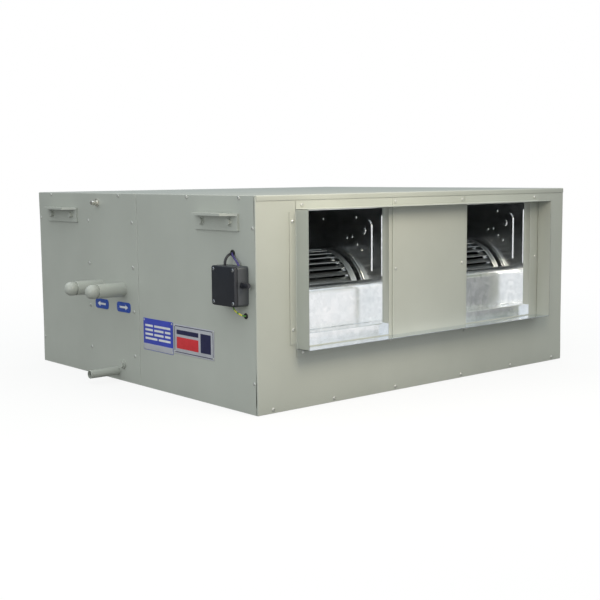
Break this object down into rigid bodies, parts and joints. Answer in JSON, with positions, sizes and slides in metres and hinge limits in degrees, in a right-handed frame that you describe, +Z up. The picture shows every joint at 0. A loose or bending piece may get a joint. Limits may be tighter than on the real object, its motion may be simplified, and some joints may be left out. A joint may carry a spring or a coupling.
{
  "type": "ducted fan coil unit",
  "caption": "Ducted fan coil unit: insulated sheet-metal casing with twin blowers on one motor, water coil with stubs and drain, outlet collar, hanger brackets and slide-out filter.",
  "frame": {"origin": "centre of the casing's underside, on the base mount", "axes": "+Z up, supply air leaves along -Y, water and drain connections on -X"},
  "size_m": [1.151, 0.99, 0.45],
  "materials": {
    "stove_enamel": "satin stove enamel, pebble grey",
    "galvanised_sheet": "bright galvanised sheet with a fine spangle",
    "zinc_screws": "zinc plated",
    "bright_steel": "ground steel",
    "motor_enamel": "satin black enamel",
    "motor_windings": "laminations with copper windings",
    "fin_aluminium": "mill finish aluminium",
    "copper_tube": "drawn copper",
    "nickel_brass": "nickel plated brass",
    "black_plastic": "moulded black plastic",
    "cream_plastic": "moulded cream plastic",
    "black_rubber": "moulded black rubber",
    "lead_sheath": "flexible cord sheath",
    "earth_sheath": "green and yellow wire sheath",
    "foam_sheet": "closed cell foam sheet",
    "filter_fleece": "washable pleated fleece",
    "blue_plate": "blue printed film, blank fields",
    "silver_plate": "thin aluminium plate, blank"
  },
  "bodies": {
    "casing": {"base_tray": "stove_enamel", "top_cover": "stove_enamel", "front_panel": "stove_enamel", "rear_frame": "stove_enamel", "left_fan_panel": "stove_enamel", "left_coil_panel": "stove_enamel", "right_fan_panel": "stove_enamel", "right_coil_panel": "stove_enamel", "foam_lining": "foam_sheet", "collar_sides": "stove_enamel", "collar_top": "stove_enamel", "collar_bottom": "stove_enamel", "centre_plate": "stove_enamel", "casing_screws": "zinc_screws", "left_hangers": "stove_enamel", "right_hangers": "stove_enamel", "hanger_bolts": "stove_enamel", "outlet_frames": "stove_enamel", "scroll_wraps": "galvanised_sheet", "scroll_side_plates": "galvanised_sheet", "inlet_rings": "galvanised_sheet", "cutoff_plates": "galvanised_sheet", "motor_shell": "motor_enamel", "motor_bells": "motor_enamel", "motor_stator": "motor_windings", "motor_bearings": "bright_steel", "motor_rings": "black_rubber", "motor_cradle": "galvanised_sheet", "cradle_bolts": "zinc_screws", "fin_pack": "fin_aluminium", "coil_end_left": "galvanised_sheet", "coil_end_right": "galvanised_sheet", "coil_tubes": "copper_tube", "return_bends": "copper_tube", "coil_headers": "copper_tube", "water_stubs": "stove_enamel", "stub_caps": "stove_enamel", "vent_body": "nickel_brass", "drain_pan": "galvanised_sheet", "drain_pipe": "stove_enamel", "overflow_plug": "stove_enamel", "filter_rails": "galvanised_sheet", "terminal_box": "black_plastic", "terminal_lid": "black_plastic", "terminal_block": "cream_plastic", "lid_screws": "zinc_screws", "cable_gland": "black_plastic", "motor_lead": "lead_sheath", "earth_wire": "earth_sheath", "grommets": "black_rubber", "data_plate": "blue_plate", "name_plate": "silver_plate", "flow_labels": "blue_plate"},
    "fan_rotor": {"left_wheel": "galvanised_sheet", "right_wheel": "galvanised_sheet", "fan_shaft": "bright_steel", "motor_rotor": "bright_steel"},
    "air_filter": {"filter_frame": "fin_aluminium", "filter_media": "filter_fleece"},
    "bleed_screw": {"vent_screw": "nickel_brass"}
  },
  "joints": [
    {"name": "fan_spin", "type": "hinge", "parent": "casing", "child": "fan_rotor", "pos_m": [0, -0.2675, 0.19663], "axis": [1, 0, 0], "continuous": true},
    {"name": "filter_slide", "type": "slide", "parent": "casing", "child": "air_filter", "axis": [1, 0, 0], "range_m": [0, 0.95]},
    {"name": "bleed_turn", "type": "hinge", "parent": "casing", "child": "bleed_screw", "pos_m": [-0.525, 0.1575, 0.4268], "axis": [-1, 0, 0], "range_deg": [0, 270]}
  ]
}
